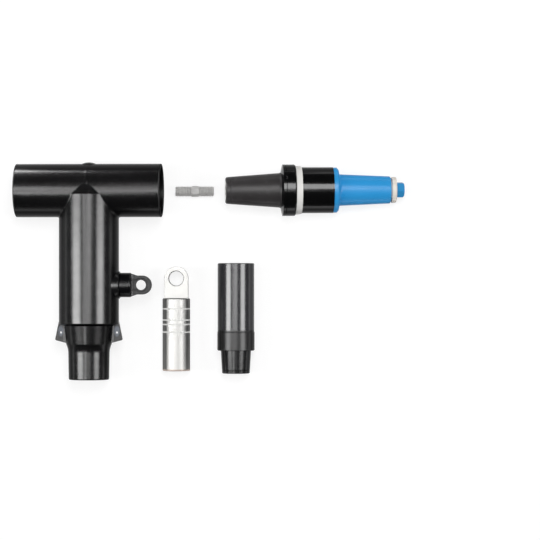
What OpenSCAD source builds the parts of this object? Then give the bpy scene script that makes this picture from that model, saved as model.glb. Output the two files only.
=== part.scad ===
// Deadbreak tee connector for underground power cable, laid out in its separate pieces.
// Millimetres. X runs along the crossbar, Y up the stem, Z up from the surface it all lies on.

/* [Tee body] */
// Length of the crossbar from mouth to mouth
bar_len = 219; // [206:1:236]
// Outside diameter of the crossbar
bar_d = 80; // [76:0.5:83]
// Outside diameter of the stem
stem_d = 90; // [87:0.5:94]
// Distance from the crossbar's axis down to the mouth of the neck
stem_drop = 283.5; // [270:0.5:300]
// Distance from the crossbar's axis down to the stem's lower shoulder
shoulder_drop = 200; // [190:1:208]
// Thickness of the conductive shield
shield_t = 3.25; // [2.5:0.25:4]
// Distance from the crossbar's axis to the top edge of the stem's cylinder
stem_top_drop = 6.5; // [4:0.5:9]
// Distance past the crossbar's axis at which the stem's coned top meets the crossbar
tent_meet = 11; // [8:0.5:14]
// Diameter of the foot under the shoulder
foot_d = 74; // [70:0.5:78]
// Diameter of the foot at its lower end
foot_end_d = 68.4; // [66:0.2:70]
// Length of the foot's cone
foot_len = 30; // [24:0.5:32]
// Diameter of the neck at its top
neck_d = 62; // [60.6:0.2:64]
// Diameter of the neck at its mouth
neck_end_d = 60.6; // [59.4:0.2:61.8]
// Length of the hollow curve from the foot into the neck
neck_blend = 13; // [9:0.5:15]
// Height of the moulding gate on top of the crossbar
gate_h = 2.25; // [1:0.25:3]
// Radius of the gate's dome
gate_r = 26; // [22:0.5:30]

/* [Drain wire ears] */
// Reach of each ear from the stem's axis
ear_reach = 50.2; // [48:0.2:52]
// Thickness of the ear
ear_t = 10; // [8:0.5:14]
// Height of the ear below the shoulder
ear_drop = 25; // [22:0.5:28]
// Diameter of the drain wire eye
ear_eye_d = 3.5; // [3:0.5:6]
// Depth of the dish round the eye
ear_dish = 2; // [1:0.25:3]

/* [Test point] */
// Distance from the crossbar's axis down to the test point
test_drop = 141.75; // [120:0.25:160]
// Diameter of the boss on the stem
boss_d = 41; // [38:0.5:44]
// Height of the boss above the stem's side
boss_h = 1.8; // [1:0.1:5]
// Diameter of the insulating post inside the cap
post_d = 22; // [18:0.5:25]
// Height of the post above the boss
post_h = 11; // [8:0.5:13]
// Diameter of the cap
cap_d = 36.6; // [33:0.2:38]
// Length of the cap's round body
cap_len = 17.6; // [15:0.2:20]
// Distance from the boss to the middle of the pulling eye
eye_reach = 31.6; // [29:0.1:38]
// Outside diameter of the pulling eye
eye_d = 28.4; // [26:0.2:31]
// Diameter of the hole in the pulling eye
eye_hole_d = 15; // [12:0.5:17]
// How much further out than round the eye's end reaches
eye_tip = 1.8; // [0:0.2:4]
// Thickness of the pulling eye's rim
eye_t = 9; // [7:0.5:12]
// Thickness of the web inside the rim
eye_web_t = 5; // [3:0.5:6]
// Diameter of the electrode in the post
electrode_d = 12; // [8:0.5:14]

/* [Stud] */
// Diameter over the thread, for 5/8-11 UNC
thread_d = 15.875; // [15.5:0.025:16.5]
// Length of the longer threaded end
stud_long = 24.6; // [20:0.2:30]
// Length of the shorter threaded end
stud_short = 21.6; // [18:0.2:28]
// Width of the hexagon across its flats
hex_af = 14.3; // [14:0.1:16]
// Length of the hexagon
hex_len = 11.8; // [8:0.2:13]

/* [Reducing plug] */
// Length of the large cone that enters the crossbar
cone_len = 83; // [76:0.5:86]
// Diameter of the large cone at its tip
cone_tip_d = 40; // [38:0.5:41]
// Diameter of the large cone at its base
cone_base_d = 52.2; // [50:0.2:55]
// Length of the sloping face between the cone and the flange
face_len = 2.5; // [1.5:0.5:4]
// Diameter of the flange
flange_d = 77.6; // [76:0.2:80]
// Width of the flange
flange_w = 19.4; // [17:0.2:24]
// Width of the indicator ring
ring_w = 9.1; // [7:0.1:12]
// Diameter of the indicator ring next to the flange
ring_d = 73.8; // [72:0.2:75]
// Diameter of the indicator ring next to the collar
ring_end_d = 71.2; // [69.6:0.2:72]
// Diameter of the collar
collar_d = 69.2; // [67:0.2:70]
// Width of the collar
collar_w = 47.5; // [40:0.5:54]
// Diameter of the shoulder of the small interface
shoulder_d = 68; // [64:0.5:69]
// Width of that shoulder
shoulder_w = 8; // [6:0.5:11]
// Length of the small cone
tap_len = 79; // [70:0.5:86]
// Diameter of the small cone at its base
tap_base_d = 47.6; // [44:0.2:49]
// Diameter of the small cone at its tip
tap_tip_d = 41; // [38:0.5:43]
// Width of the latching groove
groove_w = 1.8; // [1.5:0.1:3]
// Diameter of the latching groove
groove_d = 31; // [28.5:0.5:34]
// Width of the nose ring
nose_w = 7; // [6:0.5:10]
// Diameter of the nose ring
nose_d = 39; // [36:0.2:41]
// Width of the shipping plug's hexagon across its flats
plug_hex_af = 21; // [18:0.5:23]
// Length of the shipping plug's hexagon
plug_hex_len = 11; // [9:0.5:14]
// Length of the shipping plug's stem inside the bore
plug_stem_len = 33; // [24:0.5:40]
// Diameter of the conductor rod
rod_d = 24; // [22:0.5:26]
// Depth of the threaded hole in the conductor
hole_depth = 26; // [24.5:0.5:34]

/* [Tap contact] */
// Inside diameter of the arc snuffer's liner
liner_bore = 16.8; // [16.6:0.1:18]
// Inside diameter of the arc snuffer's tube
tube_bore = 23.2; // [23:0.1:24.5]
// Outside diameter of the arc snuffer's tube
tube_d = 28; // [27.4:0.1:28.6]
// Length of the female contact
contact_len = 36; // [30:0.5:42]
// Inside diameter of the female contact
contact_bore = 15.8; // [15:0.1:16.4]
// Number of fingers of the female contact
finger_count = 4; // [3:1:6]
// Width of the saw cuts between the fingers
finger_slot = 1.2; // [0.8:0.1:2]
// Wire diameter of the contact's spring ring
spring_wire = 1.8; // [1.2:0.1:2]

/* [Compression lug] */
// Outside diameter of the barrel
barrel_d = 41.6; // [38:0.2:42]
// Length of the barrel
barrel_len = 109.5; // [98:0.5:120]
// Diameter of the barrel's bore, for a 750 kcmil conductor
barrel_bore = 27; // [22:0.5:30]
// Metal between the end of the barrel's bore and the pad
barrel_floor = 11; // [7:0.5:18]
// Width of the pad
pad_w = 36; // [32:0.5:38]
// Thickness of the pad
pad_t = 14; // [12:0.5:17]
// Diameter of the hole in the pad
pad_hole_d = 22; // [20:0.1:24]
// Distance from the pad's hole to the barrel
pad_len = 30; // [26:0.5:34]

/* [Cable adapter] */
// Outside diameter of the adapter's insulation
tube_out_d = 55.2; // [53:0.1:56]
// Length of the insulation that shows
sleeve_len = 100.8; // [90:0.2:112]
// Outside diameter of the stress cone's band
band_d = 56.2; // [55.5:0.1:58]
// Length of the stress cone's band, with the line above it
band_len = 30.8; // [24:0.2:34]
// Length of the adapter's nose
nose_len = 34.5; // [28:0.5:42]
// Diameter of the nose at its base
nose_base_d = 45.6; // [43:0.2:47]
// Diameter of the nose at its mouth
nose_end_d = 41.8; // [40:0.2:43]
// Diameter of the bore for the cable's insulation
adapter_bore = 35; // [30:0.5:36]

/* [Interfaces] */
// How much smaller than the adapter the stem's bore is, on the diameter
stem_grip = 1.5; // [0.5:0.1:2]
// How much smaller than the plug's cone the crossbar's bore is, on the diameter
cone_grip = 0.4; // [0.2:0.1:1]
// Clearance round the lug's barrel inside the tee, on the diameter
lug_clear = 1.3; // [0.6:0.1:2]
// Clearance of the threaded hole round the stud, on the diameter
thread_clear = 0.2; // [0.1:0.05:0.4]
// Clearance of the shipping plug's stem in the bore, on the diameter
stem_clear = 0.4; // [0.2:0.1:0.8]

/* [Layout] */
// Gap between the crossbar's mouth and the stud
stud_gap = 17.2; // [8:0.1:40]
// Gap between the stud and the plug's tip
plug_gap = 18.5; // [8:0.5:40]
// Gap between the pulling eye and the lug
lug_gap = 14.9; // [8:0.1:24]
// Gap between the lug and the adapter
adapter_gap = 41.3; // [12:0.1:50]
// Angle at which the plug lies turned away from the line of the tee and stud
plug_yaw = 0.35; // [-2:0.05:2]
// Distance from the crossbar's axis down to the lug's hole
lug_drop = 132; // [120:1:144]
// Distance from the crossbar's axis down to the adapter's top
adapter_drop = 109; // [95:0.5:117]

/* [Hidden] */
$fn = 96;
// Overlap of a cutting shape past the face that it cuts
cut = 1;
// Bands in a rounded or hollowed edge
edge_steps = 6;
// Rise of a drilled hole's coned end, as a share of its radius
drill_rise = 0.4;

// Radii, each from its own diameter
bar_r = bar_d / 2;
stem_r = stem_d / 2;
foot_r = foot_d / 2;
foot_end_r = foot_end_d / 2;
neck_r = neck_d / 2;
neck_end_r = neck_end_d / 2;
boss_r = boss_d / 2;
post_r = post_d / 2;
cap_r = cap_d / 2;
eye_r = eye_d / 2;
thread_r = thread_d / 2;
cone_tip_r = cone_tip_d / 2;
cone_base_r = cone_base_d / 2;
flange_r = flange_d / 2;
collar_r = collar_d / 2;
shoulder_r = shoulder_d / 2;
tap_base_r = tap_base_d / 2;
tap_tip_r = tap_tip_d / 2;
rod_r = rod_d / 2;
barrel_r = barrel_d / 2;
sleeve_r = tube_out_d / 2;
band_r = band_d / 2;

// Tee body: where the shield, insulation and insert meet
half_bar = bar_len / 2;
seat = cone_len + pad_t / 2;
boss_reach = stem_r + boss_h;
liner_r = bar_r - shield_t;
cuff_step = 0.5;
cuff_r = liner_r - cuff_step;
core_r = stem_r - shield_t;
stem_bore_r = (tube_out_d - stem_grip) / 2;
lug_bore_r = (barrel_d + lug_clear) / 2;
cone_bore_tip = (cone_tip_d - cone_grip) / 2;
cone_bore_base = (cone_base_d - cone_grip) / 2;
cone_slope = (cone_bore_base - cone_bore_tip) / cone_len;
tent_angle = atan((stem_r - sqrt(bar_r * bar_r - tent_meet * tent_meet)) / (stem_top_drop + tent_meet));
tent_run = stem_top_drop * cos(tent_angle) + stem_r * sin(tent_angle);
tent_end = tent_run * cos(tent_angle) - stem_top_drop;
tent_r = stem_r - tent_run * sin(tent_angle);
tent_wall = shield_t / cos(tent_angle);
tent_liner_r = min(tent_r - tent_wall, sqrt(liner_r * liner_r - tent_end * tent_end));
lip_round = 1.2;
shoulder_round = 1.2;
shoulder_fall = 3;
mouth_round = 1.5;
mouth_flare = 1.2;
adapter_stop = pad_len + barrel_len;
bore_step = 3;
foot_seal = 12;
insert_wall = 4;
insert_half = 42;
insert_short = 16;
insert_drop = adapter_stop - insert_short;
insert_round = 1.5;

// Ears
ear_root = 3;
ear_corner = 2.5;
ear_slope = 4.5;
ear_eye_x = (foot_end_r + ear_reach) / 2;
ear_eye_drop = 13;
ear_dish_r = 4.2;
ear_dish_rise = 7;

// Test point
boss_flare = 7;
boss_flare_len = 12;
boss_edge = 0.8;
post_root = 10;
electrode_head = 3;
electrode_stem_d = 5;
electrode_len = 14;
cap_edge = 1;
cap_round = 2.5;
cap_head_gap = 0.5;
eye_overlap = 4;
eye_rim = 4;
eye_neck = 8;
cap_reach = boss_reach + eye_reach + eye_tip + eye_r;

// Plug: distances along its axis from the tip
tip_edge = 1.5;
tip_line = 6.5;
tip_line_w = 1;
tip_line_t = 0.4;
base_flare = 0.8;
base_flare_len = 2.5;
flange_x = cone_len + face_len;
ring_x = flange_x + flange_w;
collar_x = ring_x + ring_w;
shoulder_x = collar_x + collar_w;
tap_x = shoulder_x + shoulder_w;
tap_end = tap_x + tap_len;
nose_x = tap_end + groove_w;
nose_end = nose_x + nose_w;
nose_clear = 0.4;
nose_bore = liner_bore + nose_clear;
lip_h = 1.2;
lip_wall = 1.2;
lip_r = nose_bore / 2 + lip_wall;
plug_len = nose_end + lip_h + plug_hex_len;
flange_edge = 2;
flange_line = 4;
flange_line_w = 1;
flange_line_t = 0.5;
ring_depth = 3.2;
ring_seat_r = collar_r - ring_depth;
split_x = ring_x + ring_w / 2;
tap_fillet = 4;
shoulder_edge = 2.5;
rod_head_r = 15;
rod_head_len = 10;
rod_back = 9;
rod_end = shoulder_x - rod_back;
rod_collar = 7;
contact_clear = 0.8;
contact_r = (tube_bore - contact_clear) / 2;
contact_base = 6;
contact_gap = 2;
finger_root = 6;
finger_tip = 0.5;
finger_turn = 45;
spring_back = 8;
spring_r = contact_r - spring_wire / 3;
stem_r2 = (liner_bore - stem_clear) / 2;
nose_edge = 1.2;
plug_hex_end = 2.4;
plug_hex_cut = 1.2;
plug_hex_end_r = plug_hex_af / 2 - plug_hex_cut;
plug_turn = 10;
hex_edge = 1.6;

// Stud and lug
stud_len = stud_long + hex_len + stud_short;
thread_edge = 1.6;
hex_end = 2.5;
hex_end_cut = 0.2;
hex_core_cut = 1;
barrel_depth = barrel_len - barrel_floor;
barrel_edge = 2;
pad_edge = 0.8;
mouth_edge = 1;
ring_marks = [15.7, 32.6, 39.3, 50.8];
mark_w = 0.9;
mark_t = 0.45;

// Adapter: distances down from its top
adapter_len = sleeve_len + band_len + nose_len;
band_line = 3.3;
cone_rise = 38;
nose_line = 5;
nose_line_t = 0.5;
adapter_edge = 1;
band_edge = 1;

// How each piece comes to rest: on two of its own round edges
lip_x = half_bar - lip_round;
lip_y = bar_r - lip_round;
tee_roll = asin((stem_r - lip_round) / norm([lip_x, lip_y])) - atan(lip_y / lip_x);
flange_foot = ring_x - flange_edge;
plug_tilt = atan((flange_r - collar_r) / (shoulder_x - flange_foot));
plug_tip_z = flange_r * cos(plug_tilt) + flange_foot * sin(plug_tilt);
adapter_tilt = atan((band_r - sleeve_r) / (sleeve_len + band_line - adapter_edge));
adapter_top_z = sleeve_r * cos(adapter_tilt) - adapter_edge * sin(adapter_tilt);

// Places on the surface, with the origin at the middle of the whole layout
tee_side = lip_x * cos(tee_roll) + lip_y * sin(tee_roll) + lip_round;
plug_side = plug_len * cos(plug_tilt) + plug_hex_end_r * sin(plug_tilt);
layout_w = 2 * tee_side + stud_gap + stud_len + plug_gap + plug_side;
tee_x = tee_side - layout_w / 2;
low_side = max(stem_drop, adapter_drop + adapter_len, lug_drop + pad_len + barrel_len);
tee_y = (low_side - bar_r - gate_h) / 2;
stud_x = tee_x + tee_side + stud_gap + stud_long + hex_len / 2;
plug_x = tee_x + tee_side + stud_gap + stud_len + plug_gap;
lug_x = tee_x + cap_reach + lug_gap + barrel_r;
adapter_x = lug_x + barrel_r + adapter_gap + band_r;

// Points on an arc, from angle a to angle b
function arc(centre, r, a, b) =
    [for (i = [0 : edge_steps]) let (t = a + (b - a) * i / edge_steps) centre + r * [cos(t), sin(t)]];

// A solid of revolution about X or Y, from a profile of [radius, distance along the axis]
module turn_x(points) {
    rotate([0, 90, 0]) rotate_extrude() polygon(points);
}
module turn_y(points) {
    rotate([-90, 0, 0]) rotate_extrude() polygon(points);
}

// A hexagonal bar about X with its far corners turned off by a cone that ends at end_r
module hex_bar(af, length, chamfer, end_r) {
    corner_r = af / 2 / cos(30);
    slope = (corner_r - end_r) / chamfer;
    intersection() {
        rotate([0, 90, 0]) cylinder(h = length, r = corner_r, $fn = 6);
        turn_x([[0, -cut], [end_r + slope * (length + cut), -cut], [end_r, length], [0, length]]);
    }
}

// A plain round bar about X, from one distance to another
module bar_x(r, from, to) {
    translate([from, 0, 0]) rotate([0, 90, 0]) cylinder(h = to - from, r = r);
}

// Places of the four groups of pieces
module place_tee() {
    translate([tee_x, tee_y, stem_r]) rotate([0, -tee_roll, 0]) children();
}
module place_test_point() {
    place_tee() translate([0, -test_drop, 0]) children();
}
module place_plug() {
    translate([plug_x, tee_y, plug_tip_z]) rotate([0, plug_tilt, plug_yaw]) children();
}
module place_lug() {
    translate([lug_x, tee_y - lug_drop, barrel_r]) children();
}
module place_adapter() {
    translate([adapter_x, tee_y - adapter_drop, adapter_top_z]) rotate([-adapter_tilt, 0, 0]) children();
}

// Outside of the tee: crossbar, stem with its coned top, stepped foot, gate, ears and test boss
module tee_outside() {
    turn_x(concat(
        [[0, -half_bar]],
        arc([bar_r - lip_round, lip_round - half_bar], lip_round, -90, 0),
        arc([bar_r - lip_round, half_bar - lip_round], lip_round, 0, 90),
        [[0, half_bar]]
    ));
    turn_y(concat(
        [[0, tent_end], [tent_r, tent_end], [stem_r, -stem_top_drop]],
        arc([stem_r - shoulder_round, shoulder_round - shoulder_drop], shoulder_round, 0, -90),
        [[foot_r, -shoulder_drop - shoulder_fall], [foot_end_r, -shoulder_drop - foot_len]],
        neck_curve(),
        [[neck_end_r, mouth_round - stem_drop], [neck_end_r - mouth_round / 2, -stem_drop], [0, -stem_drop]]
    ));
    translate([0, bar_r + gate_h - gate_r, 0]) sphere(r = gate_r);
    ear();
    mirror([1, 0, 0]) ear();
    translate([0, -test_drop, 0]) test_boss();
}

// Hollow curve from the foot into the neck: a quarter wave between the two radii
function neck_curve() = [
    for (i = [1 : edge_steps])
        let (t = i / edge_steps)
        [
            neck_r + (foot_end_r - neck_r) * (1 - sin(90 * t)),
            -shoulder_drop - foot_len - neck_blend * t
        ]
];

// One drain wire ear, a flat wing that widens downwards from the stem's side
module ear() {
    top = ear_root - shoulder_drop;
    corner = [ear_reach - ear_corner, ear_corner - shoulder_drop - ear_drop];
    difference() {
        translate([0, 0, -ear_t / 2]) linear_extrude(ear_t) polygon(concat(
            [[neck_r, top], [stem_r, top]],
            arc(corner, ear_corner, 0, -90),
            [[neck_r, -shoulder_drop - ear_drop - ear_slope]]
        ));
        translate([ear_eye_x, -shoulder_drop - ear_eye_drop, -ear_t / 2 - cut])
            cylinder(h = ear_t + 2 * cut, d = ear_eye_d);
        for (side = [-1, 1]) translate([0, 0, side * (ear_t - ear_dish + cut) / 2])
            linear_extrude(ear_dish + cut, center = true) ear_dish_outline();
    }
}

// Outline of the dish round the eye: a rounded slot, open towards the stem
module ear_dish_outline() {
    translate([ear_eye_x, -shoulder_drop - ear_eye_drop]) {
        circle(r = ear_dish_r);
        translate([-ear_dish_r, 0]) square([2 * ear_dish_r, ear_dish_rise]);
        translate([0, ear_dish_rise]) circle(r = ear_dish_r);
    }
}

// Boss of the test point, a short drum on a flared root
module test_boss() {
    root = boss_reach - boss_flare_len;
    turn_x([
        [0, root], [boss_r + boss_flare, root], [boss_r, boss_reach - 2 * boss_edge],
        [boss_r, boss_reach - boss_edge], [boss_r - boss_edge, boss_reach], [0, boss_reach]
    ]);
}

// Outside of the insulation, which is also the inside of the shield between its two cuffs
module insulation_outside() {
    bar_x(liner_r, -seat, seat);
    turn_y([
        [0, tent_end], [tent_liner_r, tent_end], [core_r, -stem_top_drop],
        [core_r, foot_seal - shoulder_drop], [stem_bore_r, -shoulder_drop - foot_seal],
        [0, -shoulder_drop - foot_seal]
    ]);
    translate([0, -test_drop, 0]) bar_x(post_r, core_r - post_root, boss_reach + post_h);
}

// Hollow of the tee: two tapered seats, the lug's chamber and the adapter's bore
module tee_hollow() {
    past = cone_bore_base + cut * cone_slope;
    turn_x([
        [0, -seat - cut], [past, -seat - cut], [cone_bore_tip, -pad_t / 2],
        [cone_bore_tip, pad_t / 2], [past, seat + cut], [0, seat + cut]
    ]);
    turn_y([
        [0, 0], [lug_bore_r, 0], [lug_bore_r, -adapter_stop], [stem_bore_r, -adapter_stop - bore_step],
        [stem_bore_r, mouth_flare - stem_drop], [stem_bore_r + mouth_flare + cut, -stem_drop - cut],
        [0, -stem_drop - cut]
    ]);
}

// Outside of the conductive insert round the joint of lug, stud and plug
module insert_outside() {
    bar_wall = cone_bore_tip + cone_slope * (insert_half - pad_t / 2) + insert_wall;
    stem_wall = lug_bore_r + insert_wall;
    turn_x([
        [0, -insert_half], [bar_wall - insert_round, -insert_half], [bar_wall, insert_round - insert_half],
        [bar_wall, insert_half - insert_round], [bar_wall - insert_round, insert_half], [0, insert_half]
    ]);
    turn_y([
        [0, 0], [stem_wall, 0], [stem_wall, insert_round - insert_drop],
        [stem_wall - insert_round, -insert_drop], [0, -insert_drop]
    ]);
}

module tee_shield() {
    color([0.06, 0.06, 0.065]) place_tee() difference() {
        tee_outside();
        insulation_outside();
        bar_x(cuff_r, -half_bar - cut, half_bar + cut);
        tee_hollow();
    }
}

module tee_insulation() {
    color([0.32, 0.12, 0.1]) place_tee() difference() {
        insulation_outside();
        insert_outside();
        tee_hollow();
        translate([0, -test_drop, 0]) electrode_shape();
    }
}

module tee_insert() {
    color([0.1, 0.1, 0.1]) place_tee() difference() {
        insert_outside();
        tee_hollow();
    }
}

// Electrode with a wide head at the end of the post and a stem down its middle
module electrode_shape() {
    top = boss_reach + post_h;
    turn_x([
        [0, top - electrode_len], [electrode_stem_d / 2, top - electrode_len],
        [electrode_stem_d / 2, top - electrode_head], [electrode_d / 2, top - electrode_head],
        [electrode_d / 2, top], [0, top]
    ]);
}

module test_electrode() {
    color([0.72, 0.6, 0.35]) place_test_point() electrode_shape();
}

// Cap with a round skirt over the post and a flat pulling eye
module test_cap() {
    end = boss_reach + cap_len;
    pocket_t = (eye_t - eye_web_t) / 2 + cut;
    color([0.07, 0.07, 0.075]) place_test_point() difference() {
        union() {
            turn_x(concat(
                [[0, boss_reach], [cap_r - cap_edge, boss_reach], [cap_r, boss_reach + cap_edge]],
                arc([cap_r - cap_round, end - cap_round], cap_round, 0, 90),
                [[0, end]]
            ));
            translate([0, 0, -eye_t / 2]) linear_extrude(eye_t) eye_outline();
        }
        bar_x(post_r, boss_reach - cut, boss_reach + post_h + cap_head_gap);
        translate([boss_reach + eye_reach, 0, -eye_t]) cylinder(h = 2 * eye_t, d = eye_hole_d);
        for (side = [-1, 1]) translate([0, 0, side * (eye_web_t + pocket_t) / 2])
            linear_extrude(pocket_t, center = true) eye_pocket();
    }
}

// Outline of the pulling eye, widening to meet the cap's body
module eye_outline() {
    end = boss_reach + cap_len;
    centre = boss_reach + eye_reach;
    translate([centre + eye_tip, 0]) circle(r = eye_r);
    polygon([
        [end - eye_overlap, -cap_r + cap_edge], [end - cap_edge, -cap_r + cap_edge], [end + eye_neck, -eye_r],
        [centre + eye_tip, -eye_r], [centre + eye_tip, eye_r], [end + eye_neck, eye_r], [end - cap_edge, cap_r - cap_edge],
        [end - eye_overlap, cap_r - cap_edge]
    ]);
}

// Pocket inside the eye's rim, running back to the cap's end
module eye_pocket() {
    end = boss_reach + cap_len;
    centre = boss_reach + eye_reach;
    translate([centre, 0]) circle(r = eye_r - eye_rim);
    translate([end, -eye_hole_d / 2]) square([eye_reach - cap_len, eye_hole_d]);
}

// Stud with a hexagon between two unequal threaded ends, lying on its threads
module threaded_stud() {
    half_hex = hex_len / 2;
    color([0.72, 0.71, 0.7]) translate([stud_x, tee_y, thread_r]) {
        thread(half_hex, stud_short);
        mirror([1, 0, 0]) thread(half_hex, stud_long);
        bar_x(hex_af / 2 - hex_core_cut, -half_hex - hex_core_cut, half_hex + hex_core_cut);
        translate([-half_hex, 0, 0]) rotate([30, 0, 0])
            hex_bar(hex_af, hex_len, hex_end, hex_af / 2 - hex_end_cut);
    }
}

// One threaded end at its full diameter, from the hexagon outwards
module thread(from, length) {
    end = from + length;
    turn_x([[0, from], [thread_r, from], [thread_r, end - thread_edge], [thread_r - thread_edge, end], [0, end]]);
}

// Conductor of the plug: a wide contact face, a rod and a collar at the tap end
module conductor_outside() {
    turn_x([
        [0, 0], [rod_head_r, 0], [rod_head_r, rod_head_len], [rod_r, rod_head_len + rod_head_r - rod_r],
        [rod_r, rod_end - rod_collar], [tube_d / 2, rod_end - rod_collar], [tube_d / 2, rod_end], [0, rod_end]
    ]);
}

module plug_conductor() {
    hole_r = (thread_d + thread_clear) / 2;
    color([0.8, 0.52, 0.36]) place_plug() difference() {
        conductor_outside();
        turn_x([[0, -cut], [hole_r, -cut], [hole_r, hole_depth], [0, hole_depth + drill_rise * hole_r]]);
    }
}

// Large cone of grey insulation, running back under the shield to the middle of the plug
module plug_cone() {
    slope = (cone_base_r - cone_tip_r) / cone_len;
    line_r = cone_tip_r + slope * tip_line;
    color([0.29, 0.28, 0.285]) place_plug() difference() {
        turn_x([
            [0, 0], [cone_tip_r - tip_edge, 0], [cone_tip_r, tip_edge], [line_r, tip_line],
            [line_r - tip_line_t, tip_line + tip_line_w / 2], [line_r + slope * tip_line_w, tip_line + tip_line_w],
            [cone_base_r - slope * base_flare_len, cone_len - base_flare_len],
            [cone_base_r + base_flare, cone_len], [cone_base_r, cone_len], [cone_base_r, split_x], [0, split_x]
        ]);
        conductor_outside();
    }
}

// Conductive shield of the plug: flange, seat of the indicator ring and collar in one moulding
module plug_shield() {
    line_x = flange_x + flange_line;
    color([0.03, 0.03, 0.035]) place_plug() turn_x([
        [cone_base_r, cone_len], [cone_base_r + base_flare, cone_len], [flange_r, flange_x], [flange_r, line_x],
        [flange_r - flange_line_t, line_x + flange_line_w / 2], [flange_r, line_x + flange_line_w],
        [flange_r, ring_x - flange_edge], [flange_r - flange_edge / 3, ring_x - flange_edge / 3],
        [flange_r - flange_edge, ring_x], [ring_seat_r, ring_x], [ring_seat_r, collar_x], [collar_r, collar_x],
        [collar_r, shoulder_x], [cone_base_r, shoulder_x]
    ]);
}

module indicator_ring() {
    color([0.9, 0.89, 0.87]) place_plug() turn_x([
        [ring_seat_r, ring_x], [ring_d / 2, ring_x], [ring_end_d / 2, collar_x], [ring_seat_r, collar_x]
    ]);
}

// Blue insulation of the small interface, with its shoulder and the bore of the arc snuffer
module plug_insulation() {
    fillet = tap_x + tap_fillet;
    fillet_r = tap_base_r - (tap_base_r - tap_tip_r) * tap_fillet / tap_len;
    color([0.2, 0.56, 0.82]) place_plug() difference() {
        turn_x(concat(
            [[0, split_x], [cone_base_r, split_x], [cone_base_r, shoulder_x], [shoulder_r, shoulder_x]],
            [[shoulder_r, tap_x - shoulder_edge], [shoulder_r - shoulder_edge, tap_x]],
            arc([fillet_r + tap_fillet, fillet], tap_fillet, -90, -180),
            [[tap_tip_r, tap_end - nose_edge], [tap_tip_r - nose_edge, tap_end], [0, tap_end]]
        ));
        conductor_outside();
        bar_x(tube_d / 2, rod_end - cut, tap_end + cut);
    }
}

module snuffer_tube() {
    color([0.55, 0.42, 0.2]) place_plug() turn_x([
        [tube_bore / 2, rod_end], [tube_d / 2, rod_end], [tube_d / 2, tap_end], [tube_bore / 2, tap_end]
    ]);
}

module snuffer_liner() {
    from = rod_end + contact_len + contact_gap;
    color([0.93, 0.92, 0.88]) place_plug() turn_x([
        [liner_bore / 2 + mouth_edge, from], [tube_bore / 2, from], [tube_bore / 2, tap_end],
        [liner_bore / 2, tap_end], [liner_bore / 2, from + mouth_edge]
    ]);
}

// Spring ring in a groove round the fingers of the contact
module spring_shape() {
    translate([rod_end + contact_len - spring_back, 0, 0]) rotate([0, 90, 0])
        rotate_extrude() translate([spring_r, 0]) circle(d = spring_wire);
}

module contact_spring() {
    color([0.6, 0.6, 0.62]) place_plug() spring_shape();
}

// Female contact: a cup sawn into fingers, on a solid base
module female_contact() {
    end = rod_end + contact_len;
    root = rod_end + contact_base;
    color([0.82, 0.55, 0.38]) place_plug() difference() {
        turn_x([
            [0, rod_end], [contact_r, rod_end], [contact_r, end - contact_base], [contact_r - finger_tip, end],
            [contact_bore / 2 + finger_tip, end], [contact_bore / 2, end - finger_tip], [contact_bore / 2, root],
            [0, root]
        ]);
        spring_shape();
        for (i = [0 : finger_count - 1]) rotate([i * 360 / finger_count + finger_turn, 0, 0])
            translate([root + finger_root, -finger_slot / 2, 0])
                cube([contact_len, finger_slot, contact_r + cut]);
    }
}

// Nose ring with the latching groove behind it and a thin lip in front
module nose_ring() {
    color([0.9, 0.87, 0.83]) place_plug() turn_x([
        [nose_bore / 2, tap_end], [groove_d / 2, tap_end], [groove_d / 2, nose_x],
        [nose_d / 2 - nose_edge / 2, nose_x], [nose_d / 2, nose_x + nose_edge / 2],
        [nose_d / 2, nose_end - nose_edge], [nose_d / 2 - nose_edge, nose_end], [lip_r, nose_end],
        [lip_r, nose_end + lip_h], [nose_bore / 2, nose_end + lip_h]
    ]);
}

// Shipping plug: a hexagon against the lip of the nose ring, with a stem in the bore
module shipping_plug() {
    hex_x = nose_end + lip_h;
    tip = nose_end - plug_stem_len;
    color([0.2, 0.52, 0.76]) place_plug() {
        turn_x([[0, tip], [stem_r2 - hex_edge, tip], [stem_r2, tip + hex_edge], [stem_r2, hex_x], [0, hex_x]]);
        translate([hex_x, 0, 0]) rotate([plug_turn, 0, 0])
            hex_bar(plug_hex_af, plug_hex_len, plug_hex_end, plug_hex_end_r);
    }
}

// Compression lug: a flat pad with a round end, and a ringed barrel bored from its mouth
module compression_lug() {
    top = -pad_len;
    mouth = -pad_len - barrel_len;
    bore_r = barrel_bore / 2;
    hole_r = pad_hole_d / 2;
    color([0.86, 0.86, 0.84]) place_lug() difference() {
        union() {
            translate([0, 0, -pad_t / 2]) linear_extrude(pad_t) {
                circle(d = pad_w);
                translate([-pad_w / 2, top - barrel_edge]) square([pad_w, pad_len + barrel_edge]);
            }
            turn_y(concat(
                [[0, top]],
                arc([barrel_r - barrel_edge, top - barrel_edge], barrel_edge, 90, 0),
                [for (d = ring_marks) each mark_points(top - d)],
                [[barrel_r, mouth + mouth_edge], [barrel_r - mouth_edge, mouth], [0, mouth]]
            ));
        }
        turn_y([
            [0, mouth + barrel_depth + drill_rise * bore_r], [bore_r, mouth + barrel_depth],
            [bore_r, mouth + mouth_edge], [bore_r + mouth_edge + cut, mouth - cut],
            [0, mouth - cut]
        ]);
        rotate_extrude() polygon([
            [0, -pad_t / 2 - cut], [hole_r + pad_edge + cut, -pad_t / 2 - cut],
            [hole_r, pad_edge - pad_t / 2], [hole_r, pad_t / 2 - pad_edge],
            [hole_r + pad_edge + cut, pad_t / 2 + cut], [0, pad_t / 2 + cut]
        ]);
    }
}

// A shallow V-shaped ring round the barrel
function mark_points(y) = [[barrel_r, y + mark_w / 2], [barrel_r - mark_t, y], [barrel_r, y - mark_w / 2]];

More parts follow.
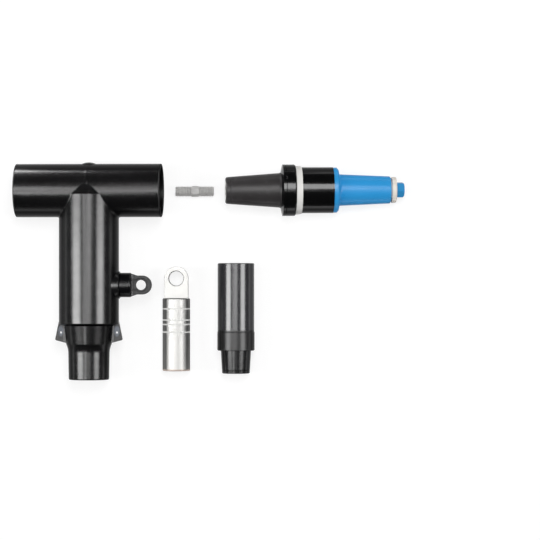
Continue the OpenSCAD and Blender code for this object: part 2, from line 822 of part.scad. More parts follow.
// Curve on which the adapter's insulation meets its stress cone, from the bore out to the skin
function stress_curve() = [
    for (i = [0 : edge_steps])
        let (t = i / edge_steps)
        [
            adapter_bore / 2 + (sleeve_r - adapter_bore / 2) * (1 - cos(90 * t)),
            -sleeve_len + cone_rise * (1 - t)
        ]
];

module adapter_insulation() {
    color([0.33, 0.33, 0.35]) place_adapter() turn_y(concat(
        [[adapter_bore / 2, -adapter_edge], [adapter_bore / 2 + adapter_edge, 0]],
        [[sleeve_r - adapter_edge, 0], [sleeve_r, -adapter_edge]],
        [for (i = [edge_steps : -1 : 0]) stress_curve()[i]]
    ));
}

module adapter_stress_cone() {
    band_top = -sleeve_len - band_line;
    band_end = -sleeve_len - band_len;
    end = -adapter_len;
    line = end + nose_line;
    line_r = nose_end_d / 2 + (nose_base_d - nose_end_d) / 2 * nose_line / nose_len;
    color([0.12, 0.12, 0.125]) place_adapter() turn_y(concat(
        stress_curve(),
        [[sleeve_r, band_top + band_edge], [band_r, band_top], [band_r, band_end + band_edge]],
        [[band_r - band_edge, band_end], [nose_base_d / 2, band_end]],
        [[line_r, line + nose_line_t], [line_r - nose_line_t, line], [line_r, line - nose_line_t]],
        [[nose_end_d / 2, end + band_edge], [nose_end_d / 2 - band_edge, end]],
        [[adapter_bore / 2 + adapter_edge, end], [adapter_bore / 2, end + adapter_edge]]
    ));
}

tee_shield();
tee_insulation();
tee_insert();
test_electrode();
test_cap();
threaded_stud();
plug_cone();
plug_shield();
indicator_ring();
plug_insulation();
nose_ring();
shipping_plug();
plug_conductor();
female_contact();
contact_spring();
snuffer_tube();
snuffer_liner();
compression_lug();
adapter_insulation();
adapter_stress_cone();
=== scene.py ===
import math

import bmesh
import bpy
from mathutils import Matrix, Vector


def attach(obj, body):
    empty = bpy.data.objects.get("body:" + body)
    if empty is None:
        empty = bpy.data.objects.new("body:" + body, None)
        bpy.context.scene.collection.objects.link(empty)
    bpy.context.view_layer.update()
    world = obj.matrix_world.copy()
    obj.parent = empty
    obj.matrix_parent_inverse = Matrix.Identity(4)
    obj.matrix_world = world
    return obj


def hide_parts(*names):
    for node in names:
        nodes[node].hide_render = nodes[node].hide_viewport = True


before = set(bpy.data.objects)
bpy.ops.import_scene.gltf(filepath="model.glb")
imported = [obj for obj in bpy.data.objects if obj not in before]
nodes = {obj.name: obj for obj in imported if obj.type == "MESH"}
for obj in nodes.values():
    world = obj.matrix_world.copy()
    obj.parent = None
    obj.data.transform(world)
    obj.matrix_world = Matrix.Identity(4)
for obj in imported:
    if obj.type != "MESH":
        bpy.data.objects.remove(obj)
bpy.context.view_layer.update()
bpy.ops.object.select_all(action="DESELECT")


# Shield of the tee: black conductive rubber, moulded over the insulation in a steel mould. Its skin has
# the mould's fine grain, a slight waviness that breaks up the highlights, and a thin bloom of dust.
def fit(tree, kind, sockets=None, **settings):
    """Adds a shader node. Each socket is given a value, or a link where it is given another socket."""
    part = tree.nodes.new("ShaderNode" + kind)
    for key, value in settings.items():
        setattr(part, key, value)
    for key, value in (sockets or {}).items():
        if isinstance(value, bpy.types.NodeSocket):
            tree.links.new(value, part.inputs[key])
        else:
            part.inputs[key].default_value = value
    return part


def maths(tree, operation, first, second):
    return fit(tree, "Math", {0: first, 1: second}, operation=operation).outputs[0]


def noise(tree, place, scale, detail, **sockets):
    return fit(tree, "TexNoise", {"Vector": place, "Scale": scale, "Detail": detail, **sockets}).outputs[0]


def spread(tree, value, low, high, to_low=0.0, to_high=1.0, **settings):
    """The value, spread from low and high to to_low and to_high."""
    sockets = {"Value": value, "From Min": low, "From Max": high, "To Min": to_low, "To Max": to_high}
    return fit(tree, "MapRange", sockets, **settings).outputs["Result"]


def weighted(tree, parts):
    """The sum of sockets, each times its share."""
    total = None
    for socket, share in parts:
        scaled = maths(tree, "MULTIPLY", socket, share)
        total = scaled if total is None else maths(tree, "ADD", total, scaled)
    return total


def effect_group(name, sizes, results, lead=("Place", "NodeSocketVector")):
    group = bpy.data.node_groups.new(name, "ShaderNodeTree")
    group.interface.new_socket(lead[0], in_out="INPUT", socket_type=lead[1])
    for size, value in sizes.items():
        socket = group.interface.new_socket(size, in_out="INPUT", socket_type="NodeSocketFloat")
        socket.default_value = value
    for result in results:
        group.interface.new_socket(result, in_out="OUTPUT", socket_type="NodeSocketFloat")
    return group, group.nodes.new("NodeGroupInput"), group.nodes.new("NodeGroupOutput")


def put(tree, group, lead, **sizes):
    """Places an effect in a material, with its own sizes."""
    part = tree.nodes.new("ShaderNodeGroup")
    part.node_tree = group
    tree.links.new(lead, part.inputs[0])
    for key, value in sizes.items():
        part.inputs[key].default_value = value
    return part.outputs


def moulded_skin():
    """Fine grain, waviness and slow flow lines, as repeats in a metre."""
    group, given, made = effect_group("Moulded skin", {"Grain": 1100.0, "Waviness": 120.0, "Flow": 16.0},
                                      ("Height", "Gloss", "Tone"))
    place = given.outputs["Place"]
    grain = noise(group, place, given.outputs["Grain"], 2.0)
    wave = noise(group, place, given.outputs["Waviness"], 1.0)
    flow = noise(group, place, given.outputs["Flow"], 4.0, Roughness=0.62, Distortion=0.6)
    shares = {
        "Height": ((grain, 0.16), (wave, 0.9), (flow, 1.6)),
        "Gloss": ((grain, 0.25), (wave, 0.25), (flow, 0.5)),
        "Tone": ((grain, 0.35), (flow, 0.65)),
    }
    for result, parts in shares.items():
        group.links.new(weighted(group, parts), made.inputs[result])
    return group


def handling_marks():
    """Soft patches where hands have been. Cover is the share of the surface that they reach."""
    group, given, made = effect_group("Handling marks", {"Size": 70.0, "Cover": 0.3}, ("Mask",))
    full, bare = 0.9, 0.86
    patch = noise(group, given.outputs["Place"], given.outputs["Size"], 6.0, Roughness=0.7)
    low = maths(group, "SUBTRACT", bare, given.outputs["Cover"])
    group.links.new(spread(group, patch, low, full, clamp=True), made.inputs["Mask"])
    return group


def zone_between():
    """One from Low to High along a measure and nothing beyond, with a soft edge of Blur."""
    group, given, made = effect_group("Zone", {"Low": 0.0, "High": 1.0, "Blur": 0.0004}, ("Mask",),
                                      ("Along", "NodeSocketFloat"))
    measure = given.outputs["Along"]
    sides = []
    for inner, outer in ((measure, given.outputs["Low"]), (given.outputs["High"], measure)):
        step = maths(group, "DIVIDE", maths(group, "SUBTRACT", inner, outer), given.outputs["Blur"])
        sides.append(spread(group, step, -1.0, 1.0, clamp=True, interpolation_type="SMOOTHSTEP"))
    group.links.new(maths(group, "MULTIPLY", *sides), made.inputs["Mask"])
    return group


skin = moulded_skin()
marks = handling_marks()
zone = zone_between()


def along(tree, place, axis):
    """How far a point lies along an axis."""
    return fit(tree, "VectorMath", {0: place, 1: axis}, operation="DOT_PRODUCT").outputs["Value"]


def within(tree, measure, low, high, **sizes):
    return put(tree, zone, measure, Low=low, High=high, **sizes)["Mask"]


def blend(tree, mask, plain, other):
    """A number that goes from plain to other where the mask is one."""
    return fit(tree, "Mix", {0: mask, 2: plain, 3: other}, data_type="FLOAT").outputs[0]


def tint(tree, mask, colour, other):
    """A colour that goes over to other where the mask is one."""
    return fit(tree, "Mix", {0: mask, 6: colour, 7: (*other, 1.0)}, data_type="RGBA").outputs[2]


def toned(tree, texture, deep, light):
    sockets = {0: texture["Tone"], 6: (*deep, 1.0), 7: (*light, 1.0)}
    return fit(tree, "Mix", sockets, data_type="RGBA").outputs[2]


def start_finish(name, **shader):
    material = bpy.data.materials.new(name)
    material.use_nodes = True
    tree = material.node_tree
    surface = tree.nodes["Principled BSDF"]
    for key, value in shader.items():
        surface.inputs[key.replace("_", " ")].default_value = value
    place = fit(tree, "TexCoord").outputs["Object"]
    return material, tree, surface, place


def end_finish(tree, surface, height, relief, rounding, **values):
    """Joins the values and the relief to the surface. Rounding softens the solid's sharp edges."""
    bump = fit(tree, "Bump", {"Height": height, "Strength": 1.0, "Distance": relief})
    if rounding:
        soft_edge = fit(tree, "Bevel", {"Radius": rounding}, samples=6)
        tree.links.new(soft_edge.outputs["Normal"], bump.inputs["Normal"])
    tree.links.new(bump.outputs["Normal"], surface.inputs["Normal"])
    for socket, value in values.items():
        tree.links.new(value, surface.inputs[socket.replace("_", " ")])


def seen_edge_on(tree, start, end, plain=0.0, edge=1.0):
    """Goes from plain to edge as the surface turns away from the eye."""
    facing = fit(tree, "LayerWeight", {"Blend": 0.5}).outputs["Facing"]
    return spread(tree, facing, start, end, plain, edge, clamp=True, interpolation_type="SMOOTHSTEP")


def rubber(name, deep, bloom, satin, relief, shine=0.5, flank=0.05, fade=0.46, grain=1100.0, waviness=120.0,
           dust=None, detail=None, rounding=0.0):
    """Moulded rubber or plastic. Its bloom takes the shine off where it is seen edge on, down to flank."""
    material, tree, surface, place = start_finish(name)
    level = seen_edge_on(tree, 0.2, fade, shine, shine * flank)
    texture = put(tree, skin, place, Grain=grain, Waviness=waviness)
    colour = toned(tree, texture, deep, bloom)
    roughness = spread(tree, texture["Gloss"], 0.3, 0.7, *satin)
    if dust:
        colour = tint(tree, put(tree, marks, place)["Mask"], colour, dust)
    if detail:
        colour, roughness = detail(tree, place, colour, roughness)
    end_finish(tree, surface, texture["Height"], relief, rounding, Base_Color=colour, Roughness=roughness,
               Specular_IOR_Level=level)
    return material


def dress(node, material):
    nodes[node].material_slots[0].material = material


tee_middle = Vector((-0.181588, 0.120625, 0.045))
tee_roll = math.radians(-2.6685)
tee_place = Matrix.Translation(tee_middle) @ Matrix.Rotation(tee_roll, 4, "Y")
bar_axis = tee_place.to_3x3() @ Vector((1, 0, 0))
bar_middle = bar_axis.dot(tee_place.translation)
trim_start = 0.1078
trim_end = 0.12
trimmed_roughness = 0.62
ear_front = -0.1105
ear_back = -0.0795
ear_inside = 0.038
ear_outside = 0.053
ear_roughness = 0.42
ear_eye = Vector((0.0423, -0.2105, 0))
dish_radius = 0.0043
dish_squash = (1.0, 0.56, 0.0)
dish_blur = 0.0012
# Lighter bluish grey painted into the ears' dishes as a glint.
dish_painted_glint = (0.15, 0.165, 0.195)
dish_roughness = 0.55


def mouths_and_ears(tree, place, colour, roughness):
    """Trimmed mouths that are dull, and ears with a lighter bluish patch painted round the eye of the drain
    wire, a painted glint in the dish.
    """
    across = along(tree, place, bar_axis)
    ear_rows = within(tree, along(tree, place, (0, 1, 0)), ear_front, ear_back)
    for side in (-1, 1):
        low, high = sorted((side * trim_start, side * trim_end))
        trimmed = within(tree, across, bar_middle + low, bar_middle + high)
        roughness = blend(tree, trimmed, roughness, trimmed_roughness)
    for side in (-1, 1):
        low, high = sorted((side * ear_inside, side * ear_outside))
        ear_columns = within(tree, across, bar_middle + low, bar_middle + high)
        ear = maths(tree, "MULTIPLY", ear_rows, ear_columns)
        roughness = blend(tree, ear, roughness, ear_roughness)
        eye = tee_place @ Vector((side * ear_eye.x, ear_eye.y, ear_eye.z))
        away = fit(tree, "VectorMath", {0: place, 1: eye}, operation="SUBTRACT").outputs["Vector"]
        oval = fit(tree, "VectorMath", {0: away, 1: dish_squash}, operation="MULTIPLY").outputs["Vector"]
        reach = fit(tree, "VectorMath", {0: oval}, operation="LENGTH").outputs["Value"]
        dish = within(tree, reach, -1.0, dish_radius, Blur=dish_blur)
        # Painted glint: the dish round each ear's eye is tinted a lighter bluish grey.
        colour = tint(tree, dish, colour, dish_painted_glint)
        roughness = blend(tree, dish, roughness, dish_roughness)
    return colour, roughness


shield_rubber = rubber("Black shield rubber", (0.0016, 0.0016, 0.0018), (0.005, 0.005, 0.0054), (0.2, 0.28),
                       0.00008, shine=0.9, flank=0.04, fade=0.41, dust=(0.012, 0.012, 0.013),
                       detail=mouths_and_ears)
dress("tee_shield", shield_rubber)


# Rolled fillet where the crossbar meets the stem and its coned top: the mould's cutter left a radius of
# three millimetres there. It follows the joint all the way round and is the shield's own rubber. Its rows
# of points are those that a ball touches as it rolls along the joint, closed by three points in the wall.
bar_radius = 0.040
stem_radius = 0.045
cone_start = -0.0065
cone_angle = math.radians(20.498)
fillet_radius = 0.003
rows_beside_stem = 36
rows_round_bend = 8
rows_beside_cone = 24
points_across = 8
edge_reach = 1.12
edge_sink = 0.1
wall_reach = 1.5


def ball_beside_stem(share):
    """Reach, height and turn of the ball's centre beside the stem, from the crossbar's low side up."""
    low = -(bar_radius + fillet_radius)
    return stem_radius + fillet_radius, low + (cone_start - low) * math.sin(math.pi / 2 * share), 0.0


def ball_round_bend(share):
    turn = cone_angle * share
    return stem_radius + fillet_radius * math.cos(turn), cone_start + fillet_radius * math.sin(turn), turn


def ball_reach(y):
    """How far the ball's centre is from the stem's axis, where it touches the cone at the height y."""
    reach, foot, turn = ball_round_bend(1.0)
    return reach - (y - foot) * math.tan(turn)


def joint_top():
    """The height at which the fillets of both sides meet, over the stem's axis."""
    y = ball_round_bend(1.0)[1]
    while ball_reach(y) ** 2 + y ** 2 > (bar_radius + fillet_radius) ** 2:
        y += 0.00001
    return y


def ball_beside_cone(share, top):
    foot = ball_round_bend(1.0)[1]
    y = foot + (top - foot) * (1 - (1 - share) ** 2)
    return ball_reach(y), y, cone_angle


def joint_steps():
    """The ball's centre, its reach from the stem's axis and its turn on to the cone, in one quarter."""
    steps = [ball_beside_stem(i / rows_beside_stem) for i in range(rows_beside_stem + 1)]
    steps += [ball_round_bend(i / rows_round_bend) for i in range(1, rows_round_bend + 1)]
    top = joint_top()
    steps += [ball_beside_cone(i / rows_beside_cone, top) for i in range(1, rows_beside_cone + 1)]
    placed = []
    for reach, y, turn in steps:
        z = math.sqrt(max((bar_radius + fillet_radius) ** 2 - y ** 2, 0.0))
        x = math.sqrt(max(reach ** 2 - z ** 2, 0.0))
        placed.append((Vector((x, y, z)), reach, turn))
    return placed


def fillet_section(centre, reach, turn):
    """One row of the fillet: the ball's arc from the crossbar to the stem, and three points in the wall."""
    x, y, z = centre
    to_bar = -Vector((0.0, y, z)).normalized()
    to_stem = -Vector((x / reach * math.cos(turn), math.sin(turn), z / reach * math.cos(turn)))
    open_angle = to_bar.angle(to_stem, 0.0)
    points = []
    for i in range(points_across + 1):
        share = i / points_across
        way = to_bar
        if open_angle >= 0.001:
            bar_part = math.sin((1 - share) * open_angle)
            stem_part = math.sin(share * open_angle)
            way = (to_bar * bar_part + to_stem * stem_part) / math.sin(open_angle)
        points.append(centre + way * fillet_radius)
    inward = (to_bar + to_stem).normalized()
    points.append(centre + (to_stem * edge_reach + inward * edge_sink) * fillet_radius)
    points.append(centre + inward * wall_reach * fillet_radius)
    points.append(centre + (to_bar * edge_reach + inward * edge_sink) * fillet_radius)
    return points


def flipped(section, x, z):
    return [Vector((x * p.x, p.y, z * p.z)) for p in section]


quarter = [fillet_section(*step) for step in joint_steps()]
front = [flipped(section, -1, 1) for section in quarter[:-1]] + [quarter[-1]] + quarter[-2::-1]
back = [flipped(section, 1, -1) for section in front[-2:0:-1]]
rows = front + back
across = len(rows[0])
faces = []
for i in range(len(rows)):
    for j in range(across):
        this_row = i * across
        next_row = (i + 1) % len(rows) * across
        after = (j + 1) % across
        faces.append((this_row + j, this_row + after, next_row + after, next_row + j))
fillet_mesh = bpy.data.meshes.new("joint_fillet")
fillet_mesh.from_pydata([tee_place @ point for row in rows for point in row], [], faces)
work = bmesh.new()
work.from_mesh(fillet_mesh)
bmesh.ops.recalc_face_normals(work, faces=work.faces)
work.to_mesh(fillet_mesh)
work.free()
joint_fillet = bpy.data.objects.new("joint_fillet", fillet_mesh)
bpy.context.collection.objects.link(joint_fillet)


def smooth(piece, degrees):
    bpy.ops.object.select_all(action="DESELECT")
    piece.select_set(True)
    bpy.context.view_layer.objects.active = piece
    bpy.ops.object.shade_smooth_by_angle(angle=math.radians(degrees))
    piece.select_set(False)


def settle(piece, material, slot, *stands_for):
    piece.data.materials.clear()
    piece.data.materials.append(material)
    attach(piece, "root")
    if stands_for:
        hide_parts(*stands_for)


smooth(joint_fillet, 40)
settle(joint_fillet, shield_rubber, "tee_shield")


# Land round the middle of the crossbar, where the mould's two end pieces met over the gate: a flat band of
# the shield's rubber, a quarter of a millimetre proud, that runs on out of sight inside the stem.
land_rise = 0.00025
land_sink = 0.00045
land_width = 0.0052
land_edge = 0.0002
across_bar = (0, math.radians(90), 0)


def finish(piece, name, kind, **settings):
    """Adds a modifier to the piece and applies it."""
    step = piece.modifiers.new(name, kind)
    for key, value in settings.items():
        setattr(step, key, value)
    bpy.context.view_layer.objects.active = piece
    bpy.ops.object.modifier_apply(modifier=step.name)


bpy.ops.mesh.primitive_cylinder_add(vertices=160, radius=bar_radius + land_rise, depth=land_width,
                                    rotation=across_bar)
mould_land = bpy.context.object
mould_land.name = "mould_land"
bpy.ops.mesh.primitive_cylinder_add(vertices=160, radius=bar_radius - land_sink, depth=4 * land_width,
                                    rotation=across_bar)
core = bpy.context.object
finish(mould_land, "Hollow", "BOOLEAN", operation="DIFFERENCE", object=core)
finish(mould_land, "Edge", "BEVEL", width=land_edge, segments=2, angle_limit=math.radians(40))
bpy.data.objects.remove(core)
mould_land.data.transform(tee_place @ mould_land.matrix_world)
mould_land.matrix_world = Matrix.Identity(4)
smooth(mould_land, 30)
settle(mould_land, shield_rubber, "tee_shield")


# Insulation and insert of the tee: dark insulating rubber and black conductive rubber, moulded before the
# shield. They show only as the two tapered seats, deep in the crossbar, and in the neck's bore.
dress("tee_insulation", rubber("Taper insulation", (0.028, 0.012, 0.010), (0.045, 0.02, 0.016), (0.26, 0.36),
                               0.00006))
dress("tee_insert", rubber("Insert rubber", (0.006, 0.006, 0.006), (0.012, 0.012, 0.012), (0.45, 0.6),
                           0.00005))


# Test point: a brass electrode in a rubber post, under a cap of softer conductive rubber with a flat eye.
# The cap is pushed on by hand and pulled off with a hooked stick, so its eye is a little scuffed.
eye_start = 0.0665
past_eye = 1.0
eye_roughness = 0.42


def scuffed_eye(tree, place, colour, roughness):
    """The flat eye beyond the cap's round body is duller than the body."""
    worn = within(tree, along(tree, place, bar_axis), bar_middle + eye_start, past_eye)
    return colour, blend(tree, worn, roughness, eye_roughness)


dress("test_cap", rubber("Cap rubber", (0.0015, 0.0015, 0.0018), (0.004, 0.004, 0.005), (0.18, 0.25), 0.00006,
                         shine=0.7, dust=(0.02, 0.02, 0.024), detail=scuffed_eye, rounding=0.0013))


def worked_metal_skin():
    """Lines drawn along Y, grit and slow clouds, as repeats in a metre."""
    group, given, made = effect_group("Worked metal", {"Around": 40.0, "Along": 900.0, "Grit": 2200.0},
                                      ("Height", "Gloss", "Tone"))
    place = given.outputs["Place"]
    split = fit(group, "SeparateXYZ", {0: place})
    scaled = {}
    for axis, size in (("X", "Around"), ("Y", "Along"), ("Z", "Around")):
        scaled[axis] = maths(group, "MULTIPLY", split.outputs[axis], given.outputs[size])
    drawn = fit(group, "CombineXYZ", scaled).outputs[0]
    lines = noise(group, drawn, 1.0, 3.0, Roughness=0.6)
    grit = noise(group, place, given.outputs["Grit"], 2.0)
    cloud = noise(group, place, 60.0, 3.0)
    shares = {
        "Height": ((lines, 0.7), (grit, 0.3)),
        "Gloss": ((lines, 0.4), (cloud, 0.6)),
        "Tone": ((cloud, 0.6), (grit, 0.4)),
    }
    for result, parts in shares.items():
        group.links.new(weighted(group, parts), made.inputs[result])
    return group


metal_skin = worked_metal_skin()


def metal(name, dark, light, satin, relief, around=40.0, along_size=900.0, grit=2200.0, detail=None,
          rounding=0.0, **shader):
    """Drawn, turned or plated metal."""
    material, tree, surface, place = start_finish(name, **shader)
    texture = put(tree, metal_skin, place, Around=around, Along=along_size, Grit=grit)
    colour = toned(tree, texture, dark, light)
    roughness = spread(tree, texture["Gloss"], 0.3, 0.7, *satin)
    if detail:
        colour, roughness = detail(tree, place, surface, colour, roughness)
    end_finish(tree, surface, texture["Height"], relief, rounding, Base_Color=colour, Roughness=roughness)
    return material


dress("test_electrode", metal("Turned brass", (0.5, 0.33, 0.12), (0.72, 0.52, 0.22), (0.25, 0.4), 0.00001,
                              Metallic=1.0))


# Stud: drawn bar with rolled threads at both ends and a hexagon left between them, tin plated and dull.
# The threads are 5/8-11, cut to a crest at the bar's full size, and each end is turned to a short chamfer.
inch = 0.0254
pitch = inch / 11
crest = inch * 5 / 8 / 2
thread_root = crest - 0.61 * pitch
flat_share = 0.25
flank_share = 5 / 16
groove_share = 0.125
thread_chamfer = 0.0016
stud_middle = Vector((-0.022699, tee_middle.y, crest))
hexagon_half = 0.0059
hexagon_flats = 0.0143
long_thread = 0.0246
short_thread = 0.0216
thread_overlap = 0.0002


def threaded_end(name, start, stop):
    """A round bar along X with a right-handed thread, from start to stop, and a chamfer at its outer end."""
    bpy.ops.mesh.primitive_plane_add(size=0.001, location=(0, 0, 0))
    bar = bpy.context.object
    bar.name = name
    bpy.ops.object.mode_set(mode="EDIT")
    bpy.ops.mesh.merge(type="CENTER")
    bpy.ops.transform.translate(value=(start - 1.5 * pitch, 0, thread_root))
    depth = crest - thread_root
    profile = ((flat_share, 0), (flank_share, depth), (groove_share, 0), (flank_share, -depth))
    for share, out in profile:
        bpy.ops.mesh.extrude_region_move(TRANSFORM_OT_translate={"value": (share * pitch, 0, out)})
    bpy.ops.object.mode_set(mode="OBJECT")
    finish(bar, "Thread", "SCREW", axis="X", screw_offset=pitch, steps=48, render_steps=48,
           iterations=math.ceil((stop - start) / pitch) + 3, use_merge_vertices=True)
    bpy.ops.object.mode_set(mode="EDIT")
    bpy.ops.mesh.select_all(action="SELECT")
    bpy.ops.mesh.remove_doubles(threshold=0.000005)
    bpy.ops.mesh.bisect(plane_co=(start, 0, 0), plane_no=(1, 0, 0), use_fill=True, clear_inner=True)
    bpy.ops.mesh.select_all(action="SELECT")
    bpy.ops.mesh.bisect(plane_co=(stop, 0, 0), plane_no=(1, 0, 0), use_fill=True, clear_outer=True)
    bpy.ops.mesh.select_all(action="SELECT")
    bpy.ops.mesh.normals_make_consistent(inside=False)
    bpy.ops.object.mode_set(mode="OBJECT")
    outer = stop if abs(stop) > abs(start) else start
    for corner in bar.data.vertices:
        limit = crest - max(0.0, thread_chamfer - abs(outer - corner.co.x))
        out = math.hypot(corner.co.y, corner.co.z)
        if out > limit:
            corner.co.y *= limit / out
            corner.co.z *= limit / out
    return bar


def turned_hexagon():
    """The stud's hexagon, flats up and down, with its far corners turned off by a cone at one end."""
    corner = hexagon_flats / 2 / math.cos(math.radians(30))
    lathe_radius = corner + 0.0020
    tip_radius = hexagon_flats / 2 - 0.0002
    cone_length = 0.0060
    rest_length = 0.0080
    rest_middle = -0.0030
    bpy.ops.mesh.primitive_cylinder_add(vertices=6, radius=corner, depth=2 * hexagon_half,
                                        rotation=across_bar)
    block = bpy.context.object
    bpy.ops.object.transform_apply(location=True, rotation=True, scale=True)
    bpy.ops.mesh.primitive_cone_add(vertices=96, radius1=lathe_radius, radius2=tip_radius, depth=cone_length,
                                    location=(hexagon_half - cone_length / 2, 0, 0), rotation=across_bar)
    lathe = bpy.context.object
    bpy.ops.object.transform_apply(location=True, rotation=True, scale=True)
    bpy.ops.mesh.primitive_cylinder_add(vertices=96, radius=lathe_radius, depth=rest_length,
                                        location=(rest_middle, 0, 0), rotation=across_bar)
    rest = bpy.context.object
    bpy.ops.object.transform_apply(location=True, rotation=True, scale=True)
    finish(lathe, "Join", "BOOLEAN", operation="UNION", object=rest)
    finish(block, "Turn", "BOOLEAN", operation="INTERSECT", object=lathe)
    for tool in (lathe, rest):
        bpy.data.objects.remove(tool)
    finish(block, "Edge", "BEVEL", width=0.00025, segments=2, limit_method="ANGLE",
           angle_limit=math.radians(25))
    return block


hexagon = turned_hexagon()
short_end = threaded_end("short_end", hexagon_half - thread_overlap, hexagon_half + short_thread)
long_end = threaded_end("long_end", -hexagon_half - long_thread, thread_overlap - hexagon_half)
bpy.ops.object.select_all(action="DESELECT")
for part in (hexagon, short_end, long_end):
    part.select_set(True)
bpy.context.view_layer.objects.active = hexagon
bpy.ops.object.join()
stud = bpy.context.object
stud.name = "stud_with_threads"
stud.data.transform(Matrix.Translation(stud_middle))
smooth(stud, 32)
dull_tin = metal("Dull tin plating", (0.52, 0.515, 0.505), (0.68, 0.675, 0.665), (0.55, 0.7), 0.00003,
                 around=500.0, along_size=500.0, grit=1500.0, Metallic=0.25)
settle(stud, dull_tin, "threaded_stud", "threaded_stud")


# Reducing plug, large end: a grey insulating cone and, bonded over its foot, a glossy black shield with a
# flange and a collar. A cream band between the two shows when the plug is home in the tee.
dress("plug_cone", rubber("Grey cone rubber", (0.024, 0.0225, 0.023), (0.038, 0.035, 0.036), (0.34, 0.44),
                          0.00005, shine=0.56, flank=0.15, dust=(0.07, 0.068, 0.07)))
dress("plug_shield", rubber("Glossy black shield", (0.0014, 0.0014, 0.0016), (0.0032, 0.0034, 0.0036),
                            (0.12, 0.18), 0.00004, shine=0.9))
dress("indicator_ring", rubber("Cream band", (0.70, 0.69, 0.665), (0.77, 0.76, 0.735), (0.38, 0.5), 0.00003,
                               shine=0.4))


# Reducing plug, small end: blue insulating rubber with a smooth, greased seat, a cream nose ring of hard
# plastic moulded to it, and a blue plastic plug that keeps dirt out of the bore until it is used.
dress("plug_insulation", rubber("Blue taper rubber", (0.018, 0.27, 0.63), (0.035, 0.33, 0.70), (0.26, 0.34),
                                0.00003, shine=0.75))
dress("nose_ring", rubber("Cream nose plastic", (0.72, 0.67, 0.61), (0.80, 0.75, 0.69), (0.35, 0.5), 0.00003,
                          shine=0.4))
dress("shipping_plug", rubber("Blue cap plastic", (0.025, 0.25, 0.55), (0.04, 0.31, 0.65), (0.26, 0.36),
                              0.00002, shine=0.55))


# Inside of the plug: an aluminium conductor with a threaded hole, a plated copper contact with its spring,
# and the glass tube and white liner of the arc snuffer. They are pressed together and hidden by the rubber.
dress("plug_conductor", metal("Turned aluminium", (0.62, 0.61, 0.6), (0.8, 0.79, 0.77), (0.25, 0.38), 0.00001,
                              Metallic=1.0))
dress("female_contact", metal("Plated copper", (0.7, 0.4, 0.26), (0.85, 0.55, 0.4), (0.2, 0.35), 0.00001,
                              Metallic=1.0))
dress("contact_spring", metal("Spring wire", (0.4, 0.4, 0.42), (0.6, 0.6, 0.62), (0.2, 0.3), 0.00001,
                              Metallic=1.0))
dress("snuffer_tube", rubber("Wound glass tube", (0.30, 0.21, 0.08), (0.42, 0.31, 0.13), (0.3, 0.45), 0.00004,
                             grain=2600.0, waviness=400.0))
dress("snuffer_liner", rubber("White liner", (0.74, 0.73, 0.68), (0.84, 0.83, 0.78), (0.3, 0.45), 0.00002))


# Compression lug: a length of aluminium bar, bored for the cable and pressed flat at the other end for the
# pad, then tin plated to a satin white. Fine turned rings round the barrel show where to crimp.
barrel_top = -0.0414
ring_drops = (0.0157, 0.0326, 0.0393, 0.0508)
ring_half = 0.0011
ring_metallic = 0.15
ring_roughness = 0.7
ring_white = (0.86, 0.86, 0.84)
# Grey painted on the lug's flanks as shade, where the barrel is seen edge on.
painted_flank_shade = (0.24, 0.24, 0.235)
mouth_start = -0.16
mouth_end = -0.1482
mouth_blur = 0.0012
mouth_tint = (0.66, 0.56, 0.50)


def crimp_rings(tree, place, surface, colour, roughness):
    """The turned rings are left rough and bright, and the mouth is tinted a darker warm colour. Where the
    barrel is seen edge on, its plating is painted a darker grey: painted shade on the flanks."""
    height = along(tree, place, (0, 1, 0))
    rings = None
    for drop in ring_drops:
        middle = barrel_top - drop
        ring = within(tree, height, middle - ring_half, middle + ring_half)
        rings = ring if rings is None else maths(tree, "MAXIMUM", rings, ring)
    mouth = within(tree, height, mouth_start, mouth_end, Blur=mouth_blur)
    tree.links.new(blend(tree, rings, 1.0, ring_metallic), surface.inputs["Metallic"])
    # Painted shade: the plating is darkened to grey where it is seen edge on.
    colour = tint(tree, seen_edge_on(tree, 0.22, 0.36), colour, painted_flank_shade)
    colour = tint(tree, rings, colour, ring_white)
    # The mouth end of the barrel is tinted a darker warm colour.
    colour = tint(tree, mouth, colour, mouth_tint)
    return colour, blend(tree, rings, roughness, ring_roughness)


dress("compression_lug", metal("Satin tin", (0.71, 0.71, 0.69), (0.79, 0.78, 0.76), (0.42, 0.54), 0.00002,
                               around=60.0, along_size=1400.0, grit=2600.0, detail=crimp_rings,
                               rounding=0.0009, Specular_Tint=(0.3, 0.3, 0.3, 1.0)))


# Cable adapter: a sleeve of dark grey insulating rubber with a black conductive stress cone moulded into
# its lower end. It is smooth and slightly greased, so it throws clear highlights.
dress("adapter_insulation", rubber("Grey sleeve rubber", (0.020, 0.020, 0.022), (0.032, 0.032, 0.036),
                                   (0.19, 0.25), 0.00003, shine=1.0, flank=0.1))

band_low = -0.1192
band_high = -0.0885
band_roughness = 0.34


def handled_band(tree, place, colour, roughness):
    """The band is gripped when the adapter is pushed home, so it is duller than the nose below it."""
    band = within(tree, along(tree, place, (0, 1, 0)), band_low, band_high)
    return colour, blend(tree, band, roughness, band_roughness)


dress("adapter_stress_cone", rubber("Stress cone rubber", (0.0025, 0.0025, 0.0028), (0.006, 0.006, 0.0065),
                                    (0.2, 0.28), 0.00005, shine=0.85, flank=0.08, dust=(0.02, 0.02, 0.02),
                                    detail=handled_band))


